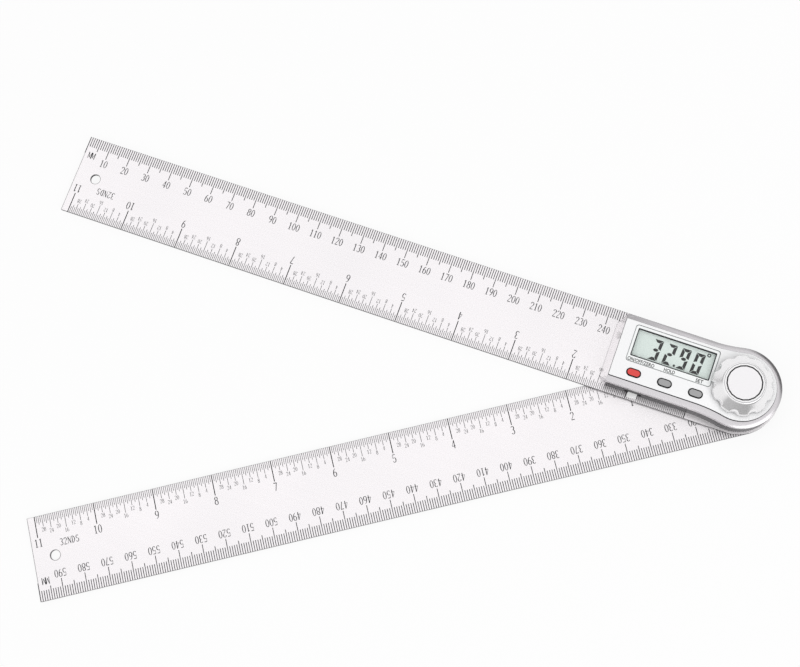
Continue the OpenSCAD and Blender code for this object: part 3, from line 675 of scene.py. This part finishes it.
def segments():  # the outline of each bar of a digit, mitred at the corners, from its lower left
    look = digitLook
    width, height, bar, gap = look["width"], look["height"], look["bar"], look["gap"]
    middle = height / 2
    low = middle + look["middleGap"]

    def flipped(points, inX, inY):
        return [(width - x if inX else x, height - y if inY else y) for x, y in points]

    near, far = bar + gap, width - bar - gap
    top = [(gap, height), (near, height - bar), (far, height - bar), (width - gap, height)]
    side = [(0, low), (bar, low + bar / 2), (bar, height - bar - gap), (0, height - gap)]
    across = [(bar / 2 + gap, middle), (near, middle - bar / 2), (far, middle - bar / 2),
              (width - bar / 2 - gap, middle), (far, middle + bar / 2), (near, middle + bar / 2)]
    return {"a": top, "b": flipped(side, True, False), "c": flipped(side, True, True),
            "d": flipped(top, False, True), "e": flipped(side, False, True), "f": side, "g": across}


def displayDigits():
    look = digitLook
    bars = segments()
    faces = []
    for i, digit in enumerate(look["digits"]):
        for name in segmentsOn[digit]:
            faces.append([(look["left"] + look["step"] * i + x + look["slant"] * (y - look["height"] / 2),
                           look["foot"] + y) for x, y in bars[name]])
    faces.append(arc(look["dotAt"], look["dot"], range(0, 360, 30)))
    faces += bow(*look["degreeAt"], look["degree"], look["degree"], 0, 360,
                 look["degreeLine"], look["degreeLine"])
    level = (headLook["panelTop"] + inkLook["lift"]) * mm
    piece = addPiece("displayDigits", meshOf("displayDigits", faces, level), "inkBlack")
    upwards(piece)
    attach(piece, "head")


def upwards(piece):  # turns the faces of flat ink up, whichever way their points run
    flat = bmesh.new()
    flat.from_mesh(piece.data)
    bmesh.ops.reverse_faces(flat, faces=[face for face in flat.faces if face.normal.z < 0])
    flat.to_mesh(piece.data)
    flat.free()


displayDigits()

# each word goes with the X of its middle, the Y of its foot and its width
labelLook = {"height": 1.55, "bold": 0.02, "smooth": 3, "words": (
    ("ON/OFF/ZERO", -41.5, -4.2, 11.4), ("HOLD", -29.4, -4.15, 4.6), ("SET", -16.7, -4.1, 3.1))}


def faceLabels():  # the names of the three keys, printed under the display
    for words, x, y, width in labelLook["words"]:
        letters = bpy.data.curves.new(words, "FONT")
        letters.body = words
        letters.resolution_u = labelLook["smooth"]
        letters.offset = labelLook["bold"]
        flat = bpy.data.objects.new(words, letters)
        bpy.context.scene.collection.objects.link(flat)
        mesh = bpy.data.meshes.new_from_object(flat.evaluated_get(bpy.context.evaluated_depsgraph_get()))
        bpy.data.objects.remove(flat)
        low = [min(vertex.co[i] for vertex in mesh.vertices) for i in (0, 1)]
        high = [max(vertex.co[i] for vertex in mesh.vertices) for i in (0, 1)]
        across, up = width / (high[0] - low[0]), labelLook["height"] / (high[1] - low[1])
        level = headLook["faceTop"] + inkLook["lift"]
        for vertex in mesh.vertices:
            vertex.co = Vector((x + (vertex.co.x - (low[0] + high[0]) / 2) * across,
                                y + (vertex.co.y - low[1]) * up, level)) * mm
        piece = addPiece("label_" + words.replace("/", "_"), mesh, "inkBlack")
        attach(piece, "head")


faceLabels()

rimLook = {"length": 5.78, "width": 3.18, "line": 0.48, "height": 0.03, "first": (-42.9, -8.8),
           "pitch": 13.1, "count": 3, "cornerSteps": 10, "cornerShare": 0.499}


def rimTree(material):  # a dark stadium-shaped line round each key
    graph, given, row = newTree("keyRims", ["Length", "Width", "Line", "Height"])
    outline = graph.node("GeometryNodeCurvePrimitiveQuadrilateral", None, {
        "Width": given.out("Length"), "Height": given.out("Width")})
    outline = graph.node("GeometryNodeFilletCurve", {"mode": "POLY"}, {
        "Curve": outline, "Count": rimLook["cornerSteps"],
        "Radius": given.out("Width") * rimLook["cornerShare"]})
    line = graph.node("GeometryNodeCurvePrimitiveQuadrilateral", None, {
        "Width": given.out("Line"), "Height": given.out("Height")})
    rim = graph.node("GeometryNodeCurveToMesh", None, {"Curve": outline, "Profile Curve": line})
    rims = graph.node("GeometryNodeInstanceOnPoints", None, {"Points": row, "Instance": rim})
    return endTree(graph, rims, material)


rimSizes = {name.capitalize(): rimLook[name] * mm
            for name in ("pitch", "length", "width", "line", "height")}
keyRims = useTree("keyRims", rimTree("inkBlack"), {"Count": rimLook["count"], **rimSizes})
keyRims.data.transform(Matrix.Translation(Vector((*rimLook["first"], headLook["faceTop"])) * mm))
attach(keyRims, "head")
print("head dressed")

knobLook = {
    "radius": 12.4, "sideTop": 16.6, "round": 0.8, "topRadius": 8.7, "topRound": 0.4, "top": 20.5,
    "underside": 13.9, "capSeat": 19.4, "capBore": 7.1, "clipBore": 5.5, "insertTop": 17.9,
    "insertFoot": 14.4, "insertBore": 5.52, "collarBore": 7.4, "flutes": 10,
    "fluteRadius": 2.6, "fluteAt": 14.1, "phase": 18.0,
    "soft": 0.45, "columns": 320, "chamfer": 0.3, "capChamfer": 0.08, "topInset": 0.1,
    "sideArc": range(0, 50, 5), "topArc": range(48, 91, 7), "slopeSteps": 8}


def lockKnob():  # its profile turned round the axis, with softly edged flutes in its side
    look = knobLook
    outside = [(look["radius"] - look["chamfer"], look["underside"]),
               (look["radius"], look["underside"] + look["chamfer"])]
    sideCentre = (look["radius"] - look["round"], look["sideTop"] - look["round"])
    outside += arc(sideCentre, look["round"], look["sideArc"])
    topCentre = (look["topRadius"] - look["topRound"] + look["topInset"], look["top"] - look["topRound"])
    topEdge = arc(topCentre, look["topRound"], look["topArc"])
    start, finish, steps = outside[-1], topEdge[0], look["slopeSteps"]
    outside += [tuple(low + (high - low) * i / steps for low, high in zip(start, finish))
                for i in range(1, steps)]
    outside += topEdge
    inside = [(look["capBore"] + look["capChamfer"], look["top"]),
              (look["capBore"], look["top"] - look["capChamfer"]),
              (look["capBore"], look["capSeat"]), (look["clipBore"], look["capSeat"]),
              (look["clipBore"], look["insertTop"]), (look["insertBore"], look["insertTop"]),
              (look["insertBore"], look["insertFoot"]), (look["collarBore"], look["insertFoot"]),
              (look["collarBore"], look["underside"])]
    profile = outside + inside
    shape = bmesh.new()
    rings = []
    for level, (radius, height) in enumerate(profile):
        ring = []
        for column in range(look["columns"]):
            angle = 2 * math.pi * column / look["columns"]
            reach = softened(radius, fluteReach(angle)) if level < len(outside) else radius
            place = (reach * math.cos(angle) * mm, reach * math.sin(angle) * mm, height * mm)
            ring.append(shape.verts.new(place))
        rings.append(ring)
    for low, high in zip(rings, rings[1:] + rings[:1]):
        for i in range(look["columns"]):
            shape.faces.new((low[i - 1], low[i], high[i], high[i - 1]))
    bmesh.ops.recalc_face_normals(shape, faces=shape.faces)
    mesh = bpy.data.meshes.new("lockKnob")
    shape.to_mesh(mesh)
    shape.free()
    piece = addPiece("lockKnob", mesh, nodeFinish["lock_knob"])
    smooth(piece)
    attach(piece, "lock_knob")
    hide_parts("lock_knob")


def fluteReach(angle):  # how far the knob reaches in a direction before it meets a flute
    look = knobLook
    step = 2 * math.pi / look["flutes"]
    beside = (angle - math.radians(look["phase"]) + step / 2) % step - step / 2
    across = look["fluteAt"] * math.sin(beside)
    depth = math.sqrt(max(0.0, look["fluteRadius"] ** 2 - across ** 2))
    return look["fluteAt"] * math.cos(beside) - depth


def softened(first, second):  # the smaller of two, with a soft change from one to the other
    soft = knobLook["soft"]
    share = max(0.0, soft - abs(first - second)) / soft
    return min(first, second) - share * share * soft / 4


lockKnob()

capLook = {"top": 20.5, "cap": (6.82, 7.38), "edge": (8.05, 8.25)}


def topRing(name, inner, outer, material, slot):  # a thin flat ring on the knob's top; the cap ring is print, the edge ring painted shade
    middle = (inner + outer) / 2
    ring = bow(0, 0, middle, middle, 0, 360, outer - inner, outer - inner)
    piece = addPiece(name, meshOf(name, ring, (capLook["top"] + inkLook["lift"]) * mm), material)
    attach(piece, "lock_knob")


topRing("capRing", *capLook["cap"], "inkBlack", "cap_white")
# painted shade: a grey line near where the top's flat meets its rounded edge
topRing("edgeShadeRing", *capLook["edge"], "ringGrey", "knob_plastic")
print("knob made")

studioLook = {
    "floorSize": 3.0, "floorDrop": 0.06, "floorTone": (0.92, 0.92, 0.92, 1.0), "glow": 0.88,
    "overhead": 1.05, "horizon": 0.38, "rise": 0.92, "side": 0.10,
    "flagAt": (0.53, 0.70, 0.47), "flagEdge": (0.87, 0.96), "flag": 0.88,
    "cardAt": (-0.86, -0.50, 0.06), "cardEdge": (0.84, 0.97), "card": 0.45,
    "key": 5.0, "keySize": 1.2, "keyAt": (0.87, -0.60, 0.92), "keyAim": (-0.05, -0.02, 0.0)}


def addFloor():
    half = studioLook["floorSize"] / 2
    mesh = bpy.data.meshes.new("floor")
    level = -studioLook["floorDrop"] * mm
    corners = [(-half, -half, level), (half, -half, level), (half, half, level), (-half, half, level)]
    mesh.from_pydata(corners, [], [(0, 1, 2, 3)])
    made, graph = newMaterial("floorPaper")
    matt = graph.node("ShaderNodeBsdfDiffuse", None, {"Color": studioLook["floorTone"]})
    glow = graph.node("ShaderNodeEmission", None, {"Strength": 1.0})
    rays = graph.node("ShaderNodeLightPath", None, None, "Is Camera Ray")
    mirrored = graph.maths("MAXIMUM", rays.out("Is Glossy Ray"), rays.out("Is Transmission Ray"))
    seen = graph.maths("MAXIMUM", rays, mirrored)
    mixed = graph.node("ShaderNodeMixShader", None, {0: seen * studioLook["glow"], 1: matt, 2: glow})
    graph.node("ShaderNodeOutputMaterial", None, {"Surface": mixed})
    mesh.materials.append(made)
    floor = addPiece("floor", mesh)


def addWorld():  # bright overhead, darker towards the horizon, with a dark flag and a light card
    world = bpy.data.worlds.new("studio")
    bpy.context.scene.world = world
    world.use_nodes = True
    world.node_tree.nodes.clear()
    graph = Graph(world.node_tree)
    direction = graph.node("ShaderNodeTexCoord", None, None, "Generated")
    x, y, z = graph.split(direction)
    rise = graph.step(z, 0.0, studioLook["rise"])
    light = studioLook["horizon"] + rise * (studioLook["overhead"] - studioLook["horizon"])
    light = light - studioLook["side"] * x

    def patch(name):  # 1 towards a flag or a card, 0 away from it
        toIt = graph.node("ShaderNodeVectorMath", {"operation": "DOT_PRODUCT"},
                          {0: direction, 1: Vector(studioLook[name + "At"]).normalized()}, "Value")
        return graph.step(toIt, *studioLook[name + "Edge"])

    light = light * (1 - studioLook["flag"] * patch("flag")) + studioLook["card"] * patch("card")
    seen = graph.node("ShaderNodeLightPath", None, None, "Is Camera Ray")
    light = graph.maths("MAXIMUM", light, seen)
    sockets = {"Color": (1.0, 1.0, 1.0, 1.0), "Strength": light}
    shader = graph.node("ShaderNodeBackground", None, sockets)
    graph.node("ShaderNodeOutputWorld", None, {"Surface": shader})


def addLight():
    lamp = bpy.data.lights.new("key", "AREA")
    lamp.energy = studioLook["key"]
    lamp.size = studioLook["keySize"]
    key = bpy.data.objects.new("key", lamp)
    bpy.context.scene.collection.objects.link(key)
    key.location = studioLook["keyAt"]
    aim = Vector(studioLook["keyAim"]) - key.location
    key.rotation_euler = aim.to_track_quat("-Z", "Y").to_euler()


cameraLook = {"at": (-63.56, -149.01, 565.93), "turn": (11.9206, 2.9794, 19.8173), "lens": 61.838,
              "shift": 0.0765, "sensor": 36.0, "near": 0.01}


def addCamera():
    lens = bpy.data.cameras.new("camera")
    lens.sensor_width = cameraLook["sensor"]
    lens.lens = cameraLook["lens"]
    lens.shift_y = cameraLook["shift"]
    lens.clip_start = cameraLook["near"]
    camera = bpy.data.objects.new("camera", lens)
    bpy.context.scene.collection.objects.link(camera)
    camera.location = Vector(cameraLook["at"]) * mm
    camera.rotation_euler = [math.radians(angle) for angle in cameraLook["turn"]]
    bpy.context.scene.camera = camera


addFloor()
addWorld()
addLight()
addCamera()
bpy.context.scene.view_settings.view_transform = "Standard"
print("studio set")
